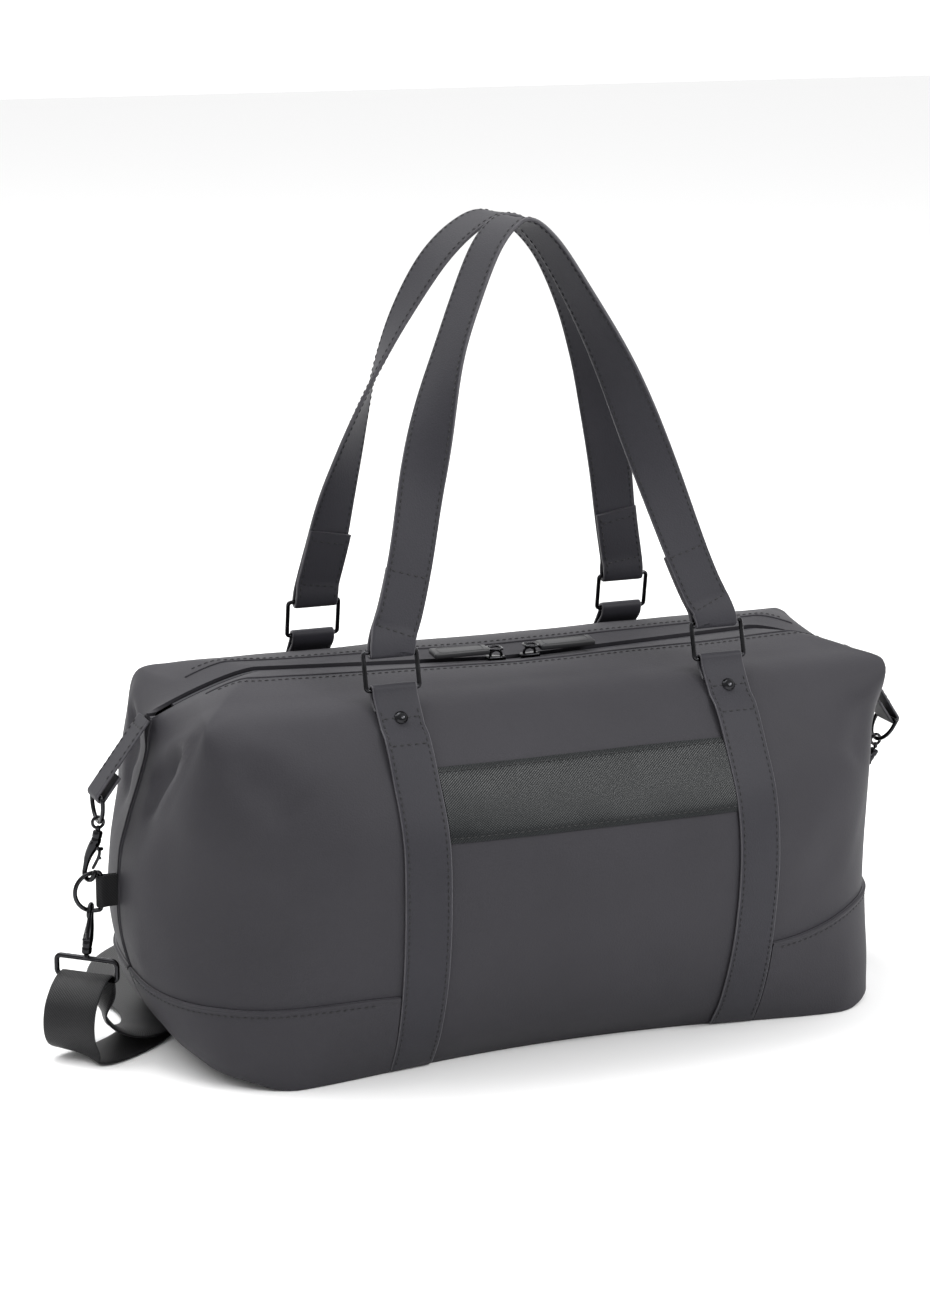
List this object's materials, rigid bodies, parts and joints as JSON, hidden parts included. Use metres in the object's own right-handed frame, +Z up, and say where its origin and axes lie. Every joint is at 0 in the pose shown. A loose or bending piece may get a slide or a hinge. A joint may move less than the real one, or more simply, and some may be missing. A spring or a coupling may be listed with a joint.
{
  "type": "weekender bag",
  "caption": "Soft charcoal weekender bag with a top zip, two long handles on wire rings, clipped-in ends and a clip-on shoulder strap.",
  "frame": {"origin": "middle of the base, on the floor", "axes": "+X along the bag to its right end, +Y towards the back, +Z up; the front faces -Y"},
  "size_m": [0.6402, 0.3656, 0.5491],
  "materials": {
    "shell_fabric": "matte coated cloth",
    "strap_fabric": "matte coated cloth, painted edges",
    "webbing": "glossy woven webbing",
    "hardware": "polished dark nickel",
    "puller": "matte moulded",
    "board": "matte",
    "lining_fabric": "matte woven"
  },
  "bodies": {
    "bag": {"front_panel": "shell_fabric", "back_panel": "shell_fabric", "lining": "lining_fabric", "base_panel": "shell_fabric", "base_stiffener": "board", "corner_panel_front_left": "shell_fabric", "corner_panel_front_right": "shell_fabric", "corner_panel_back_left": "shell_fabric", "corner_panel_back_right": "shell_fabric", "zip_tape_front": "webbing", "zip_tape_back": "webbing", "zip_teeth": "webbing", "front_band": "webbing", "strap_front_left": "strap_fabric", "strap_front_right": "strap_fabric", "strap_back_left": "strap_fabric", "strap_back_right": "strap_fabric", "rivet_front_left": "hardware", "rivet_front_right": "hardware", "rivet_back_left": "hardware", "rivet_back_right": "hardware", "end_tab_left": "strap_fabric", "end_tab_right": "strap_fabric", "side_loop_left": "webbing", "side_loop_right": "webbing", "strap_loop_left": "hardware", "strap_loop_right": "hardware", "shoulder_strap": "webbing", "strap_adjuster": "hardware"},
    "ring_front_left": {"handle_ring_front_left": "hardware"},
    "ring_front_right": {"handle_ring_front_right": "hardware"},
    "handle_front": {"handle_front": "strap_fabric"},
    "ring_back_left": {"handle_ring_back_left": "hardware"},
    "ring_back_right": {"handle_ring_back_right": "hardware"},
    "handle_back": {"handle_back": "strap_fabric"},
    "slider_left": {"zip_slider_left": "hardware"},
    "pull_left": {"pull_link_left": "hardware", "pull_tab_left": "puller"},
    "end_ring_left": {"end_ring_left": "hardware"},
    "eye_left": {"gusset_hook_eye_left": "hardware"},
    "upper_hook_left": {"gusset_hook_left": "hardware"},
    "upper_gate_left": {"gusset_hook_left_gate": "hardware"},
    "side_ring_left": {"side_ring_left": "hardware"},
    "lower_hook_left": {"strap_hook_left": "hardware"},
    "lower_gate_left": {"strap_hook_left_gate": "hardware"},
    "slider_right": {"zip_slider_right": "hardware"},
    "pull_right": {"pull_link_right": "hardware", "pull_tab_right": "puller"},
    "end_ring_right": {"end_ring_right": "hardware"},
    "eye_right": {"gusset_hook_eye_right": "hardware"},
    "upper_hook_right": {"gusset_hook_right": "hardware"},
    "upper_gate_right": {"gusset_hook_right_gate": "hardware"},
    "side_ring_right": {"side_ring_right": "hardware"},
    "lower_hook_right": {"strap_hook_right": "hardware"},
    "lower_gate_right": {"strap_hook_right_gate": "hardware"}
  },
  "joints": [
    {"name": "ring_tilt_front_left", "type": "hinge", "parent": "bag", "child": "ring_front_left", "pos_m": [-0.118, -0.0825, 0.2535], "axis": [1, 0, 0], "range_deg": [0, 60]},
    {"name": "ring_tilt_front_right", "type": "hinge", "parent": "bag", "child": "ring_front_right", "pos_m": [0.118, -0.0825, 0.2535], "axis": [1, 0, 0], "range_deg": [0, 60]},
    {"name": "handle_tilt_front", "type": "hinge", "parent": "ring_front_left", "child": "handle_front", "pos_m": [-0.118, -0.07573, 0.27757], "axis": [1, 0, 0], "range_deg": [0, 30]},
    {"name": "ring_tilt_back_left", "type": "hinge", "parent": "bag", "child": "ring_back_left", "pos_m": [-0.118, 0.0825, 0.2535], "axis": [-1, 0, 0], "range_deg": [0, 60]},
    {"name": "ring_tilt_back_right", "type": "hinge", "parent": "bag", "child": "ring_back_right", "pos_m": [0.118, 0.0825, 0.2535], "axis": [-1, 0, 0], "range_deg": [0, 60]},
    {"name": "handle_tilt_back", "type": "hinge", "parent": "ring_back_left", "child": "handle_back", "pos_m": [-0.118, 0.07867, 0.2782], "axis": [-1, 0, 0], "range_deg": [0, 30]},
    {"name": "zip_left", "type": "slide", "parent": "bag", "child": "slider_left", "axis": [-0.9988, 0, 0.0489], "range_m": [0, 0.16]},
    {"name": "pull_left", "type": "hinge", "parent": "slider_left", "child": "pull_left", "pos_m": [-0.0089, 0, 0.25269], "axis": [0, 1, 0], "range_deg": [0, 85]},
    {"name": "end_ring_left", "type": "hinge", "parent": "bag", "child": "end_ring_left", "pos_m": [-0.297, 0, 0.1785], "axis": [0, 1, 0], "range_deg": [-1, 0]},
    {"name": "eye_left", "type": "hinge", "parent": "end_ring_left", "child": "eye_left", "pos_m": [-0.297, 0, 0.1599], "axis": [0, 1, 0], "range_deg": [-1, 0]},
    {"name": "upper_hook_left", "type": "hinge", "parent": "eye_left", "child": "upper_hook_left", "pos_m": [-0.297, 0, 0.1534], "axis": [-0.2318, 0, -0.9728], "range_deg": [0, 8]},
    {"name": "upper_gate_left", "type": "hinge", "parent": "upper_hook_left", "child": "upper_gate_left", "pos_m": [-0.29751, -0.00474, 0.14201], "axis": [0.8859, 0.4131, -0.2111], "range_deg": [0, 14], "stiffness_Nm_per_rad": 0.02, "springref_deg": -11.46},
    {"name": "side_ring_left", "type": "hinge", "parent": "bag", "child": "side_ring_left", "pos_m": [-0.2965, 0, 0.1112], "axis": [0, 0, 1], "range_deg": [0, 4]},
    {"name": "lower_hook_left", "type": "hinge", "parent": "bag", "child": "lower_hook_left", "pos_m": [-0.3075, 0, 0.06837], "axis": [0.1159, 0, 0.9933], "range_deg": [-8, 8]},
    {"name": "lower_gate_left", "type": "hinge", "parent": "lower_hook_left", "child": "lower_gate_left", "pos_m": [-0.30837, -0.00472, 0.07975], "axis": [-0.9013, 0.4203, 0.1052], "range_deg": [0, 14], "stiffness_Nm_per_rad": 0.02, "springref_deg": -11.46},
    {"name": "zip_right", "type": "slide", "parent": "bag", "child": "slider_right", "axis": [0.9995, 0, 0.031], "range_m": [0, 0.16]},
    {"name": "pull_right", "type": "hinge", "parent": "slider_right", "child": "pull_right", "pos_m": [0.0089, 0, 0.25259], "axis": [0, -1, 0], "range_deg": [0, 85]},
    {"name": "end_ring_right", "type": "hinge", "parent": "bag", "child": "end_ring_right", "pos_m": [0.2955, 0, 0.1745], "axis": [0, 1, 0], "range_deg": [-1, 0.2]},
    {"name": "eye_right", "type": "hinge", "parent": "end_ring_right", "child": "eye_right", "pos_m": [0.2862, 0, 0.15839], "axis": [0, 1, 0], "range_deg": [-1, 0.2]},
    {"name": "upper_hook_right", "type": "hinge", "parent": "eye_right", "child": "upper_hook_right", "pos_m": [0.2862, 0, 0.15029], "axis": [-0.6212, 0, -0.7837], "range_deg": [-8, 4]},
    {"name": "upper_gate_right", "type": "hinge", "parent": "upper_hook_right", "child": "upper_gate_right", "pos_m": [0.27784, -0.00488, 0.14262], "axis": [0.7361, -0.3432, -0.5834], "range_deg": [0, 14], "stiffness_Nm_per_rad": 0.02, "springref_deg": -11.46},
    {"name": "side_ring_right", "type": "hinge", "parent": "bag", "child": "side_ring_right", "pos_m": [0.259, 0, 0.11415], "axis": [0, 0, 1], "range_deg": [0, 4]},
    {"name": "lower_hook_right", "type": "hinge", "parent": "bag", "child": "lower_hook_right", "pos_m": [0.2695, 0, 0.07147], "axis": [-0.0662, 0, 0.9978], "range_deg": [-8, 8]},
    {"name": "lower_gate_right", "type": "hinge", "parent": "lower_hook_right", "child": "lower_gate_right", "pos_m": [0.27095, -0.00471, 0.08279], "axis": [-0.9047, -0.4219, -0.06], "range_deg": [0, 14], "stiffness_Nm_per_rad": 0.02, "springref_deg": -11.46}
  ],
  "couplings": [
    {"joint": "ring_tilt_front_right", "follows": "ring_tilt_front_left", "ratio": 1},
    {"joint": "ring_tilt_back_right", "follows": "ring_tilt_back_left", "ratio": 1}
  ]
}
